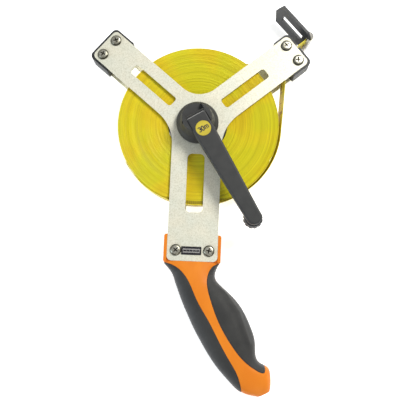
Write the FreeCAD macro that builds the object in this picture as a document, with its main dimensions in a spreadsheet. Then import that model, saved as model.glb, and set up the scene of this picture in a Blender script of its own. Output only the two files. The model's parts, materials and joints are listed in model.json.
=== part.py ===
"""Open-reel measuring tape with a three-armed frame, a folding crank and a pistol grip.

Frame: the tape lies on its back. The origin is on the reel's axle at the level of the rear
bearing cap's flat face, which is the resting plane. +Z runs along the axle to the crank,
+Y from the grip towards the two upper arms, +X to the right. Millimetres and degrees.
"""
import FreeCAD, Part
import math
import os
import Sketcher

Vector = FreeCAD.Vector
Rotation = FreeCAD.Rotation
Placement = FreeCAD.Placement

Z_AXIS = Vector(0, 0, 1)
PARTS_FOLDER = "parts"

# Driving dimensions. The key is the cell's alias, the text says what it is.
DIMENSIONS = {
    "plate_thick": (1.5, "sheet thickness of both frame plates"),
    "plate_gap": (15.0, "clear gap between the two plates"),
    "rear_level": (5.5, "height of the rear plate's outer face above the resting plane"),
    "arm_angle": (50.4, "angle of each upper arm from +Y"),
    "arm_half": (15.5, "half width of an upper arm"),
    "arm_end": (112.0, "axle to the end of an upper arm"),
    "stem_half": (21.5, "half width of the stem"),
    "stem_end": (119.6, "axle to the end of the stem"),
    "plate_corner": (4.0, "corner radius of the plate ends"),
    "side_crotch": (36.0, "inside radius between an upper arm and the stem"),
    "top_crotch": (22.0, "inside radius between the two upper arms"),
    "arm_slot_inner": (28.6, "axle to the inner end of an arm slot"),
    "arm_slot_outer": (76.4, "axle to the outer end of a front arm slot"),
    "arm_slot_half": (4.7, "half width of an arm slot"),
    "rear_slot_left": (85.0, "axle to the outer end of the rear plate's left slot"),
    "rear_slot_right": (68.0, "axle to the outer end of the rear plate's right slot"),
    "stem_slot_inner": (26.7, "axle to the inner end of the stem slot"),
    "stem_slot_outer": (78.1, "axle to the outer end of the stem slot"),
    "stem_slot_half": (7.5, "half width of the stem slot"),
    "slot_corner": (2.6, "corner radius of the arm slots"),
    "stem_slot_corner": (4.2, "corner radius of the stem slot"),
    "arm_screw_reach": (105.4, "axle to the screw line of an upper arm"),
    "arm_screw_half": (8.45, "half spacing of the two screws on an upper arm"),
    "stem_screw_reach": (110.5, "axle to the screw line of the stem"),
    "stem_screw_half": (14.1, "half spacing of the two stem screws"),
    "screw_radius": (2.0, "radius of the M4 frame screws"),
    "screw_hole": (2.15, "radius of the clearance holes for the frame screws"),
    "screw_head": (4.8, "radius of the pan heads"),
    "screw_head_tall": (2.2, "height of the pan heads"),
    "block_inner": (92.5, "axle to the inner face of the left spacer block"),
    "guide_inner": (88.0, "axle to the inner face of the tape guide block"),
    "block_end": (114.4, "axle to the outer face of both blocks"),
    "block_half": (17.4, "half width of both blocks"),
    "block_corner": (4.6, "outer corner radius of both blocks"),
    "tape_wide": (13.0, "width of the tape"),
    "tape_thick": (0.45, "thickness of the glass fibre tape"),
    "coil_radius": (70.6, "outer radius of the wound tape"),
    "coil_core": (25.6, "inner radius of the wound tape"),
    "loose_turn": (72.0, "radius of the loose outer turn's centre line"),
    "guide_bend": (11.0, "radius of the tape's bend round the guide's boss"),
    "guide_floor": (0.6, "floor under the tape in the guide block"),
    "journal_rear": (6.0, "radius of the axle's rear journal"),
    "journal_front": (4.2, "radius of the axle's front journal"),
    "running_gap": (0.05, "radial clearance of every running fit"),
    "drive_square": (8.3, "side of the square that drives the drum"),
    "hub_radius": (18.3, "base radius of the crank hub"),
    "hub_shoulder": (15.4, "radius of the crank hub above its shoulder"),
    "hub_top_radius": (12.0, "top radius of the crank hub"),
    "hub_bottom": (24.8, "height of the crank hub's underside"),
    "hub_top": (44.3, "height of the crank hub's cheeks"),
    "crank_angle": (-58.6, "direction of the folded crank arm, from +X"),
    "crank_bottom": (37.5, "height of the folded crank arm's underside"),
    "crank_thick": (7.0, "thickness of the crank arm"),
    "crank_root_half": (8.9, "half width of the crank arm at the hinge"),
    "crank_tip_half": (6.4, "half width of the crank arm at the knob"),
    "crank_reach": (96.3, "axle to the knob's axis"),
    "hinge_back": (2.4, "hinge pin to the axle, on the side away from the folded arm"),
    "hinge_below": (2.5, "hinge pin's axis below the crank arm's top face"),
    "hinge_pin": (1.5, "radius of the hinge pin"),
    "hinge_pin_long": (23.0, "length of the hinge pin"),
    "badge_radius": (6.5, "radius of the length badge"),
    "badge_reach": (11.0, "axle to the centre of the length badge"),
    "knob_radius": (7.4, "radius of the fluted knob next to the arm"),
    "knob_flare": (8.4, "radius of the fluted knob at its free end"),
    "knob_bottom": (26.8, "height of the folded knob's free end"),
    "ring_long": (42.4, "length of the end ring"),
    "ring_wide": (22.8, "width of the end ring"),
    "ring_thick": (2.6, "thickness of the end ring"),
    "ring_point": (4.2, "how far the end ring's pointed far end stands out"),
    "ring_raise": (1.0, "end ring's centre line above the tape's"),
    "ring_slot_long": (25.4, "length of the end ring's slot"),
    "ring_slot_wide": (7.0, "width of the end ring's slot"),
    "ring_tilt": (12.5, "lean of the end ring away from the frame"),
    "ring_yaw": (2.7, "turn of the end ring about the axle's direction"),
    "ring_axis_reach": (121.0, "axle to the fold line between tape and end ring"),
    "sleeve_half": (10.0, "half width of the clear sleeve round the ring's near end"),
    "grip_proud": (0.4, "how far the soft grips stand above the handle core"),
    "label_long": (17.0, "length of the name plate"),
    "label_shift": (-0.8, "name plate's middle from the stem's centre line"),
    "label_tall": (7.0, "height of the name plate"),
}


class Size:
    """A number that also carries the spreadsheet expression it comes from."""

    def __init__(self, value, text):
        self.value = value
        self.text = text

    def combine(self, other, sign, result):
        return Size(result, "(%s %s %s)" % (self.text, sign, other.text))

    def __add__(self, other):
        other = as_size(other)
        return self.combine(other, "+", self.value + other.value)

    def __sub__(self, other):
        other = as_size(other)
        return self.combine(other, "-", self.value - other.value)

    def __mul__(self, other):
        other = as_size(other)
        return self.combine(other, "*", self.value * other.value)

    def __truediv__(self, other):
        other = as_size(other)
        return self.combine(other, "/", self.value / other.value)

    def __rsub__(self, other):
        return as_size(other) - self

    def __radd__(self, other):
        return as_size(other) + self

    def __rmul__(self, other):
        return as_size(other) * self

    def __neg__(self):
        return Size(-self.value, "(0 - %s)" % self.text)


def as_size(number):
    if isinstance(number, Size):
        return number
    return Size(float(number), "%.6g" % number if number >= 0 else "(0 - %.6g)" % -number)


def sine(angle):
    return Size(math.sin(math.radians(angle.value)), "sin(%s)" % angle.text)


def cosine(angle):
    return Size(math.cos(math.radians(angle.value)), "cos(%s)" % angle.text)


def fill_sheet(document):
    """Write every driving dimension into the spreadsheet and return them as Size values."""
    sheet = document.addObject("Spreadsheet::Sheet", "Sizes")
    sizes = {}
    for row, (alias, (value, meaning)) in enumerate(DIMENSIONS.items(), start=1):
        sheet.set("A%d" % row, meaning)
        sheet.set("B%d" % row, "%.6g" % value)
        sheet.setAlias("B%d" % row, alias)
        sizes[alias] = Size(value, "Sizes.%s" % alias)
    document.recompute()
    return sizes


doc = FreeCAD.newDocument("MeasuringTape")
D = fill_sheet(doc)

# Levels and directions that several pieces share.
rear_inner = D["rear_level"] + D["plate_thick"]
front_inner = rear_inner + D["plate_gap"]
front_face = front_inner + D["plate_thick"]
mid_level = rear_inner + D["plate_gap"] / 2
tape_bottom = mid_level - D["tape_wide"] / 2
crank_top = D["crank_bottom"] + D["crank_thick"]
hinge_level = crank_top - D["hinge_below"]
arm_sine = sine(D["arm_angle"])
arm_cosine = cosine(D["arm_angle"])
LEFT = -1
RIGHT = 1

exported = []


def export_later(label, item):
    """Give the piece its name and remember it for the STEP files."""
    item.Label = label
    exported.append(item)
    return item


# --- sketch and feature helpers ------------------------------------------------------------

def bind(item, path, size):
    """Set a property and tie it to the spreadsheet when the size comes from there."""
    size = as_size(size)
    item.setExpression(path, size.text)


def new_body(name):
    return doc.addObject("PartDesign::Body", name)


def new_sketch(body, role="XY_Plane", offset=0.0):
    plane = [item for item in body.Origin.OriginFeatures if item.Role == role][0]
    sketch = body.newObject("Sketcher::SketchObject", body.Name + "Sketch")
    sketch.AttachmentSupport = [(plane, "")]
    sketch.MapMode = "FlatFace"
    bind(sketch, "AttachmentOffset.Base.z", offset)
    return sketch


def fix_point(sketch, geometry, end, x, y):
    for kind, size in (("DistanceX", x), ("DistanceY", y)):
        size = as_size(size)
        index = sketch.addConstraint(Sketcher.Constraint(kind, -1, 1, geometry, end, size.value))
        sketch.setExpression("Constraints[%d]" % index, size.text)


def draw_polygon(sketch, points):
    """Closed outline whose corners are all tied to the spreadsheet."""
    corners = [(as_size(x), as_size(y)) for x, y in points]
    places = [Vector(x.value, y.value, 0) for x, y in corners]
    lines = []
    for start, finish in zip(places, places[1:] + places[:1]):
        lines.append(sketch.addGeometry(Part.LineSegment(start, finish), False))
    for line, following in zip(lines, lines[1:] + lines[:1]):
        sketch.addConstraint(Sketcher.Constraint("Coincident", line, 2, following, 1))
    for line, (x, y) in zip(lines, corners):
        fix_point(sketch, line, 1, x, y)


def draw_rectangle(sketch, x_low, x_high, y_low, y_high):
    draw_polygon(sketch, [(x_low, y_low), (x_high, y_low), (x_high, y_high), (x_low, y_high)])


def draw_circle(sketch, radius, x=0.0, y=0.0):
    radius = as_size(radius)
    x = as_size(x)
    y = as_size(y)
    circle = sketch.addGeometry(Part.Circle(Vector(x.value, y.value, 0), Z_AXIS, radius.value), False)
    index = sketch.addConstraint(Sketcher.Constraint("Radius", circle, radius.value))
    sketch.setExpression("Constraints[%d]" % index, radius.text)
    fix_point(sketch, circle, 3, x, y)


def pad(body, sketch, length, midplane=False):
    feature = body.newObject("PartDesign::Pad", body.Name + "Pad")
    feature.Profile = sketch
    bind(feature, "Length", length)
    feature.Midplane = midplane
    doc.recompute()
    return feature


def pocket(body, sketch, length, reverse=False, midplane=False):
    """Cut a pocket and stop if it removed nothing."""
    before = body.Shape.Volume
    feature = body.newObject("PartDesign::Pocket", body.Name + "Pocket")
    feature.Profile = sketch
    bind(feature, "Length", length)
    feature.Reversed = reverse
    feature.Midplane = midplane
    doc.recompute()
    if feature.Shape.Volume > before - 1e-3:
        raise RuntimeError("pocket cuts nothing in " + body.Name)
    return feature


def turn(body, points, role="XZ_Plane"):
    """Solid of revolution about Z from a half profile of (radius, height) points."""
    sketch = new_sketch(body, role)
    draw_polygon(sketch, points)
    feature = body.newObject("PartDesign::Revolution", body.Name + "Turn")
    feature.Profile = sketch
    feature.ReferenceAxis = (sketch, ["V_Axis"])
    feature.Angle = 360
    doc.recompute()
    return feature


def fillet(body, feature, edges, radius):
    item = body.newObject("PartDesign::Fillet", body.Name + "Fillet")
    item.Base = (feature, edges)
    bind(item, "Radius", radius)
    doc.recompute()
    return item


def upright_edges(shape, places, tolerance=0.05):
    """Names of the edges that run along Z at one of the given (x, y) places."""
    names = []
    for number, edge in enumerate(shape.Edges, start=1):
        if len(edge.Vertexes) != 2:
            continue
        first, last = (vertex.Point for vertex in edge.Vertexes)
        if math.hypot(first.x - last.x, first.y - last.y) > 1e-4:
            continue
        for x, y in places:
            if math.hypot(first.x - as_size(x).value, first.y - as_size(y).value) < tolerance:
                names.append("Edge%d" % number)
    return names


def edges_at_level(shape, level):
    """Names of the edges that lie wholly in the horizontal plane at this height."""
    names = []
    for number, edge in enumerate(shape.Edges, start=1):
        box = edge.BoundBox
        if abs(box.ZMin - level) < 1e-4 and abs(box.ZMax - level) < 1e-4:
            names.append("Edge%d" % number)
    return names


def on_arm(reach, across, side):
    """Place on an upper arm: reach along it, across towards the stem's side."""
    x = (reach * arm_sine + across * arm_cosine) * side
    y = reach * arm_cosine - across * arm_sine
    return x, y


def arm_rectangle(reach_low, reach_high, half, side):
    half = as_size(half)
    corners = [(reach_low, half), (reach_high, half), (reach_high, -half), (reach_low, -half)]
    return [on_arm(as_size(reach), across, side) for reach, across in corners]


def arm_placement(level=0.0):
    """Placement whose local X runs out along the right arm and local Y across it, up-left."""
    return Placement(Vector(0, 0, level), Rotation(Z_AXIS, 90 - D["arm_angle"].value))


def solid_feature(name, shape, placement=None):
    """A Part::Feature for shapes that neither bodies nor primitives give."""
    item = doc.addObject("Part::Feature", name)
    item.Shape = shape
    if placement is not None:
        item.Placement = placement
    return item


def tube(name, radius, height, level, x=0.0, y=0.0):
    item = doc.addObject("Part::Cylinder", name)
    bind(item, "Radius", radius)
    bind(item, "Height", height)
    bind(item, "Placement.Base.x", x)
    bind(item, "Placement.Base.y", y)
    bind(item, "Placement.Base.z", level)
    return item


def cut(name, base, tool):
    item = doc.addObject("Part::Cut", name)
    item.Base = base
    item.Tool = tool
    item.Refine = True
    return item


# --- frame ---------------------------------------------------------------------------------

def screw_places():
    """(x, y) of the six frame screws: two on each arm and two on the stem."""
    places = []
    for side in (LEFT, RIGHT):
        for across in (-D["arm_screw_half"], D["arm_screw_half"]):
            places.append(on_arm(D["arm_screw_reach"], across, side))
    for side in (LEFT, RIGHT):
        places.append((D["stem_screw_half"] * side, -D["stem_screw_reach"]))
    return places


def plate_outline():
    """Corners of the three-armed plate, with the end corners and crotches apart."""
    ends = []
    for side in (LEFT, RIGHT):
        ends.append((D["stem_half"] * side, -D["stem_end"]))
        ends.append(on_arm(D["arm_end"], D["arm_half"], side))
        ends.append(on_arm(D["arm_end"], -D["arm_half"], side))
    side_height = (D["stem_half"] * arm_cosine - D["arm_half"]) / arm_sine
    sides = [(D["stem_half"] * side, side_height) for side in (LEFT, RIGHT)]
    top = (as_size(0), D["arm_half"] / arm_sine)
    outline = [ends[0], ends[3], sides[1], ends[4], ends[5], top, ends[2], ends[1], sides[0]]
    return outline, ends, sides, top


def make_plate(label, level, bore, left_slot, right_slot):
    body = new_body(label)
    outline, ends, sides, top = plate_outline()
    sketch = new_sketch(body, offset=level)
    draw_polygon(sketch, outline)
    draw_circle(sketch, bore)
    for x, y in screw_places():
        draw_circle(sketch, D["screw_hole"], x, y)
    slots = [
        arm_rectangle(D["arm_slot_inner"], left_slot, D["arm_slot_half"], LEFT),
        arm_rectangle(D["arm_slot_inner"], right_slot, D["arm_slot_half"], RIGHT),
    ]
    half = D["stem_slot_half"]
    low = -D["stem_slot_outer"]
    high = -D["stem_slot_inner"]
    slots.append([(-half, low), (half, low), (half, high), (-half, high)])
    for slot in slots:
        draw_polygon(sketch, slot)
    feature = pad(body, sketch, D["plate_thick"])
    arm_corners = slots[0] + slots[1]
    for places, radius in ((ends, D["plate_corner"]), (sides, D["side_crotch"]),
                           ([top], D["top_crotch"]), (arm_corners, D["slot_corner"]),
                           (slots[2], D["stem_slot_corner"])):
        feature = fillet(body, feature, upright_edges(feature.Shape, places), radius)
    return export_later(label, body)


def make_spacer_block():
    """Plastic block that holds the plates apart at the end of the left arm."""
    body = new_body("left_spacer_block")
    sketch = new_sketch(body, offset=rear_inner)
    outline = arm_rectangle(D["block_inner"], D["block_end"], D["block_half"], LEFT)
    draw_polygon(sketch, outline)
    for across in (-D["arm_screw_half"], D["arm_screw_half"]):
        x, y = on_arm(D["arm_screw_reach"], across, LEFT)
        draw_circle(sketch, D["screw_hole"], x, y)
    feature = pad(body, sketch, D["plate_gap"])
    fillet(body, feature, upright_edges(feature.Shape, outline[1:3]), D["block_corner"])
    return export_later("left_spacer_block", body)


def tape_heading():
    """Direction of the straight tape run from the loose turn to the guide's boss, degrees."""
    boss_x, boss_y = (size.value for size in boss_centre())
    spread = math.hypot(boss_x, boss_y)
    lean = math.asin((D["loose_turn"].value + D["guide_bend"].value) / spread)
    return math.degrees(math.atan2(boss_y, boss_x) + lean)


def boss_centre():
    return on_arm(D["arm_screw_reach"], D["arm_screw_half"], RIGHT)


def tape_route():
    """Named points and angles of the tape from the coil to the end of its bend."""
    boss_x, boss_y = (size.value for size in boss_centre())
    boss = Vector(boss_x, boss_y, 0)
    heading = tape_heading()
    exit_heading = 90 - D["arm_angle"].value
    leave_angle = heading - 90
    leave = polar_point(Vector(0, 0, 0), D["loose_turn"].value, leave_angle)
    bend_start = polar_point(boss, D["guide_bend"].value, heading + 90)
    bend_end = polar_point(boss, D["guide_bend"].value, exit_heading + 90)
    return {"boss": boss, "heading": heading, "exit_heading": exit_heading,
            "leave_angle": leave_angle, "leave": leave,
            "bend_start": bend_start, "bend_end": bend_end}


def polar_point(centre, radius, angle):
    turned = math.radians(angle)
    return centre + Vector(radius * math.cos(turned), radius * math.sin(turned), 0)


def band_section(place, heading, thick, low, high):
    """Upright rectangle across the tape at one place of its route."""
    side = polar_point(Vector(0, 0, 0), thick / 2, heading + 90)
    corners = [place + side + Vector(0, 0, low), place - side + Vector(0, 0, low),
               place - side + Vector(0, 0, high), place + side + Vector(0, 0, high)]
    return Part.Face(Part.makePolygon(corners + corners[:1]))


def band_arc(centre, radius, start, finish, thick, low, high):
    """Curved stretch of an upright band, turned about a vertical axis."""
    section = band_section(polar_point(centre, radius, start), start + 90, thick, low, high)
    return section.revolve(centre, Z_AXIS, finish - start)


def band_run(start, finish, thick, low, high):
    """Straight stretch of an upright band."""
    along = finish - start
    heading = math.degrees(math.atan2(along.y, along.x))
    return band_section(start, heading, thick, low, high).extrude(along)


def join(shapes):
    return shapes[0].fuse(shapes[1:]).removeSplitter()


def make_guide_block():
    """Plastic block on the right arm with the channel that leads the tape out."""
    body = new_body("tape_guide_blank")
    sketch = new_sketch(body, offset=rear_inner)
    outline = arm_rectangle(D["guide_inner"], D["block_end"], D["block_half"], RIGHT)
    draw_polygon(sketch, outline)
    for across in (-D["arm_screw_half"], D["arm_screw_half"]):
        x, y = on_arm(D["arm_screw_reach"], across, RIGHT)
        draw_circle(sketch, D["screw_hole"], x, y)
    feature = pad(body, sketch, D["plate_gap"])
    fillet(body, feature, upright_edges(feature.Shape, outline[1:3]), D["block_corner"])

    channel_wide = 3.4
    mouth_deep = 7.0
    mouth_across = 9.6
    relief_deep = 11.5
    relief_across = 10.5
    route = tape_route()
    low = rear_inner.value + D["guide_floor"].value
    high = front_inner.value + 1
    before = polar_point(route["bend_start"], -40, route["heading"])
    beyond = polar_point(route["bend_end"], 20, route["exit_heading"])
    channel = join([
        band_run(before, route["bend_start"], channel_wide, low, high),
        band_arc(route["boss"], D["guide_bend"].value, route["heading"] + 90,
                 route["exit_heading"] + 90, channel_wide, low, high),
        band_run(route["bend_end"], beyond, channel_wide, low, high),
    ])
    mouth = Part.makeBox(mouth_deep, 12, D["plate_gap"].value + 2)
    mouth.translate(Vector(D["guide_inner"].value - 1, -mouth_across - 12, rear_inner.value - 1))
    relief = Part.makeBox(relief_deep, 12, D["plate_gap"].value + 2)
    relief.translate(Vector(D["guide_inner"].value - 1, relief_across, rear_inner.value - 1))
    for tool in (mouth, relief):
        tool.Placement = arm_placement().multiply(tool.Placement)
    tool = solid_feature("guide_channel", join([channel, mouth, relief]))
    block = cut("tape_guide_block", body, tool)
    return export_later("tape_guide_block", block)


def make_screw_master():
    """One pan head screw, its head's underside at z = 0 and its shank pointing down."""
    body = new_body("screw_master")
    shank = front_face - 1.6
    points = [(0, -shank), (D["screw_radius"] - 0.3, -shank), (D["screw_radius"], 0.3 - shank),
              (D["screw_radius"], 0), (D["screw_head"], 0), (D["screw_head"], D["screw_head_tall"] - 1.7),
              (D["screw_head"] - 0.2, D["screw_head_tall"] - 1.1),
              (D["screw_head"] - 0.6, D["screw_head_tall"] - 0.65),
              (D["screw_head"] - 1.2, D["screw_head_tall"] - 0.3),
              (D["screw_head"] - 2.0, D["screw_head_tall"] - 0.1), (0, D["screw_head_tall"])]
    turn(body, points)
    long_half = 2.3
    short_half = 0.5
    for across, along in ((long_half, short_half), (short_half, long_half)):
        sketch = new_sketch(body, offset=D["screw_head_tall"] - 1.3)
        draw_rectangle(sketch, -across, across, -along, along)
        pocket(body, sketch, 3, reverse=True)
    return body


def make_group(label, master, places):
    """Identical fasteners as separate solids in one node."""
    copies = []
    for place in places:
        shape = master.Shape.copy()
        shape.Placement = place.multiply(shape.Placement)
        copies.append(shape)
    return export_later(label, solid_feature(label, Part.makeCompound(copies)))


def make_fasteners():
    places = [(x.value, y.value) for x, y in screw_places()]
    twists = [20, 65, 38, 5, 50, 80]
    screw = make_screw_master()
    make_group("frame_screws", screw, [
        Placement(Vector(x, y, front_face.value), Rotation(Z_AXIS, twist))
        for (x, y), twist in zip(places, twists)])

    washer_thick = 0.8
    nut_tall = 3.2
    washer = cut("washer_master", tube("washer_disc", 4.5, washer_thick, 0.0),
                 tube("washer_hole", D["screw_hole"], 2.0, -0.5))
    prism = doc.addObject("Part::Prism", "nut_prism")
    prism.Polygon = 6
    prism.Circumradius = 7.0 / math.sqrt(3)
    prism.Height = nut_tall
    nut = cut("nut_master", prism, tube("nut_hole", D["screw_radius"], 5.0, -0.5))
    doc.recompute()
    washer_level = D["rear_level"].value - washer_thick
    make_group("frame_washers", washer, [
        Placement(Vector(x, y, washer_level), Rotation()) for x, y in places])
    make_group("frame_nuts", nut, [
        Placement(Vector(x, y, washer_level - nut_tall), Rotation(Z_AXIS, twist))
        for (x, y), twist in zip(places, twists)])


def make_name_label():
    body = new_body("name_label")
    sketch = new_sketch(body, offset=front_face)
    half = D["label_long"] / 2
    middle = -D["stem_screw_reach"] - 0.3
    low = middle - D["label_tall"] / 2
    draw_rectangle(sketch, D["label_shift"] - half, D["label_shift"] + half, low, low + D["label_tall"])
    feature = pad(body, sketch, 0.35)
    corners = [vertex.Point for vertex in feature.Shape.Vertexes if vertex.Z < front_face.value + 0.1]
    fillet(body, feature, upright_edges(feature.Shape, [(p.x, p.y) for p in corners]), 0.6)
    return export_later("name_label", body)


# --- axle and reel -------------------------------------------------------------------------

rear_bore_floor = as_size(2.0)
drum_bottom = rear_inner + 0.6
drum_top = front_inner - 0.6
cap_radius = as_size(15.0)
spigot_radius = as_size(9.0)
washer_outer = as_size(9.2)
rivet_ring = 12.0
rivet_radius = 1.5


def rivet_places():
    return [polar_point(Vector(0, 0, 0), rivet_ring, angle) for angle in (90, 210, 330)]


def make_rear_cap():
    """Closed bearing for the axle's rear end, riveted to the rear plate."""
    body = new_body("rear_bearing_cap")
    bore = D["journal_rear"] + D["running_gap"]
    points = [(0, 0), (cap_radius - 0.8, 0), (cap_radius, 0.8), (cap_radius, D["rear_level"]),
              (spigot_radius, D["rear_level"]), (spigot_radius, rear_inner), (bore, rear_inner),
              (bore, rear_bore_floor), (0, rear_bore_floor)]
    turn(body, points)
    for radius, depth in ((rivet_radius, 8), (2.8, 1.4)):
        sketch = new_sketch(body)
        for place in rivet_places():
            draw_circle(sketch, radius, place.x, place.y)
        pocket(body, sketch, depth, reverse=True)
    return export_later("rear_bearing_cap", body)


def make_rivets():
    master = new_body("rivet_master")
    head = 2.6
    turn(master, [(0, 0.3), (head - 0.5, 0.3), (head, 0.7), (head, 1.4), (rivet_radius, 1.4),
                  (rivet_radius, rear_inner), (0, rear_inner)])
    make_group("cap_rivets", master, [Placement(place, Rotation()) for place in rivet_places()])


def drill_rear_plate(plate):
    """The rear plate also takes the three rivets of the bearing cap."""
    sketch = new_sketch(plate, offset=D["rear_level"])
    for place in rivet_places():
        draw_circle(sketch, rivet_radius, place.x, place.y)
    pocket(plate, sketch, D["plate_thick"] + 1, reverse=True)


def make_front_bushing():
    body = new_body("front_bushing")
    bore = D["journal_front"] + D["running_gap"]
    turn(body, [(bore, front_inner), (7.0, front_inner), (7.0, front_face), (10.0, front_face),
                (10.0, front_face + 0.9), (bore, front_face + 0.9)])
    return export_later("front_bushing", body)


def make_thrust_washer(label, bore, level):
    body = new_body(label)
    turn(body, [(bore, level), (washer_outer, level), (washer_outer, level + 0.5), (bore, level + 0.5)])
    return export_later(label, body)


def crank_placement():
    """The reel's pieces stand square to the folded crank arm."""
    return Placement(Vector(0, 0, 0), Rotation(Z_AXIS, D["crank_angle"].value))


hub_square = 5.8


def make_axle():
    """Stepped steel axle: rear journal, drum square, front journal, hub square."""
    body = new_body("axle_shaft")
    square_reach = D["drive_square"] * 0.7071
    hub_reach = as_size(hub_square) * 0.7071
    shaft_top = as_size(33.0)
    turn(body, [(0, rear_bore_floor + 0.2), (D["journal_rear"] - 0.5, rear_bore_floor + 0.2),
                (D["journal_rear"], rear_bore_floor + 0.7), (D["journal_rear"], drum_bottom),
                (square_reach, drum_bottom), (square_reach, drum_top), (D["journal_front"], drum_top),
                (D["journal_front"], D["hub_bottom"]), (hub_reach, D["hub_bottom"]),
                (hub_reach, shaft_top), (0, shaft_top)])
    outside = 12
    for side, low, high in ((D["drive_square"], drum_bottom, drum_top),
                            (as_size(hub_square), D["hub_bottom"], shaft_top)):
        for turned in range(2):
            sketch = new_sketch(body, offset=low)
            for sign in (LEFT, RIGHT):
                near = side / 2 * sign
                far = as_size(outside * sign)
                low_edge, high_edge = (near, far) if sign == RIGHT else (far, near)
                if turned:
                    draw_rectangle(sketch, -outside, outside, low_edge, high_edge)
                else:
                    draw_rectangle(sketch, low_edge, high_edge, -outside, outside)
            pocket(body, sketch, high - low, reverse=True)
    sketch = new_sketch(body, offset=shaft_top)
    draw_circle(sketch, 1.6)
    pocket(body, sketch, 8.2)
    body.Placement = crank_placement()
    return export_later("axle_shaft", body)


def make_drum():
    """Plastic core that the tape is wound on, with a notch for the tape's inner end."""
    body = new_body("reel_drum")
    core = D["coil_core"] - 0.1
    web_low = mid_level - 2
    web_high = mid_level + 2
    hub_wall = 10.0
    rim_wall = core - 3.0
    turn(body, [(2.0, drum_bottom), (hub_wall, drum_bottom), (hub_wall, web_low),
                (rim_wall, web_low), (rim_wall, drum_bottom + 0.4), (core, drum_bottom + 0.4),
                (core, drum_top - 0.4), (rim_wall, drum_top - 0.4), (rim_wall, web_high),
                (hub_wall, web_high), (hub_wall, drum_top), (2.0, drum_top)])
    half = D["drive_square"] / 2 + 0.05
    sketch = new_sketch(body, offset=drum_bottom)
    draw_rectangle(sketch, -half, half, -half, half)
    pocket(body, sketch, drum_top - drum_bottom, reverse=True)
    sketch = new_sketch(body, offset=mid_level - 5)
    draw_rectangle(sketch, -4, 4, D["coil_core"] - 1.8, D["coil_core"] + 1)
    pocket(body, sketch, 10, reverse=True)
    body.Placement = crank_placement()
    return export_later("reel_drum", body)


def make_anchor_clip():
    """Small spring clip that pins the tape's inner end into the drum's notch."""
    body = new_body("tape_anchor_clip")
    sketch = new_sketch(body, offset=mid_level - 4.5)
    draw_rectangle(sketch, -3.6, 3.6, D["coil_core"] - 1.7, D["coil_core"] - 0.6)
    pad(body, sketch, 9)
    body.Placement = crank_placement()
    return export_later("tape_anchor_clip", body)


def make_coil():
    body = new_body("tape_coil")
    turn(body, [(D["coil_core"], tape_bottom), (D["coil_radius"], tape_bottom),
                (D["coil_radius"], tape_bottom + D["tape_wide"]),
                (D["coil_core"], tape_bottom + D["tape_wide"])])
    return export_later("tape_coil", body)


# --- hub and crank -------------------------------------------------------------------------

def make_hub():
    """Crank hub with the channel that the folding arm lies in; local X is along the arm."""
    body = new_body("hub_disc")
    rim = 3.6
    points = [(0, D["hub_bottom"]), (D["hub_radius"] - 0.8, D["hub_bottom"]),
              (D["hub_radius"], D["hub_bottom"] + 0.8), (D["hub_radius"], D["hub_bottom"] + rim),
              (D["hub_radius"] - 0.5, D["hub_bottom"] + rim + 1.0),
              (D["hub_shoulder"], D["hub_bottom"] + 7.7),
              (D["hub_shoulder"] - 0.4, D["hub_bottom"] + 8.4),
              (D["hub_top_radius"] + 0.8, D["hub_top"] - 1.2),
              (D["hub_top_radius"] - 0.2, D["hub_top"]), (0, D["hub_top"])]
    turn(body, points)
    wide = (D["crank_root_half"] + 0.15) * 2
    back = -D["hinge_back"]
    near_floor = D["crank_bottom"] - 0.3
    far_floor = hinge_level - D["hinge_below"] - 0.7
    beyond = 25
    sketch = new_sketch(body, "XZ_Plane")
    draw_polygon(sketch, [(-beyond, far_floor), (back - 0.3, far_floor), (back - 0.3, near_floor),
                          (beyond, near_floor), (beyond, 50), (-beyond, 50)])
    pocket(body, sketch, wide, midplane=True)
    sketch = new_sketch(body, "XZ_Plane")
    draw_circle(sketch, D["hinge_pin"], back, hinge_level)
    pocket(body, sketch, 40.0, midplane=True)
    half = hub_square / 2 + 0.05
    sketch = new_sketch(body, offset=D["hub_bottom"])
    draw_rectangle(sketch, -half, half, -half, half)
    pocket(body, sketch, 9, reverse=True)
    sketch = new_sketch(body, offset=33.0)
    draw_circle(sketch, 3.7)
    pocket(body, sketch, 8, reverse=True)
    body.Placement = crank_placement()
    return export_later("hub_disc", body)


def make_hub_screw():
    body = new_body("hub_screw")
    turn(body, [(0, 25.4), (1.6, 25.4), (1.6, 33.0), (3.4, 33.0), (3.4, 35.0), (2.8, 35.6), (0, 35.6)])
    sketch = new_sketch(body, offset=34.3)
    draw_rectangle(sketch, -2.2, 2.2, -0.45, 0.45)
    pocket(body, sketch, 3, reverse=True)
    return export_later("hub_screw", body)


def make_hinge_pin():
    body = new_body("crank_hinge_pin")
    sketch = new_sketch(body, "XZ_Plane")
    draw_circle(sketch, D["hinge_pin"], -D["hinge_back"], hinge_level)
    pad(body, sketch, D["hinge_pin_long"], midplane=True)
    body.Placement = crank_placement()
    return export_later("crank_hinge_pin", body)


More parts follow.
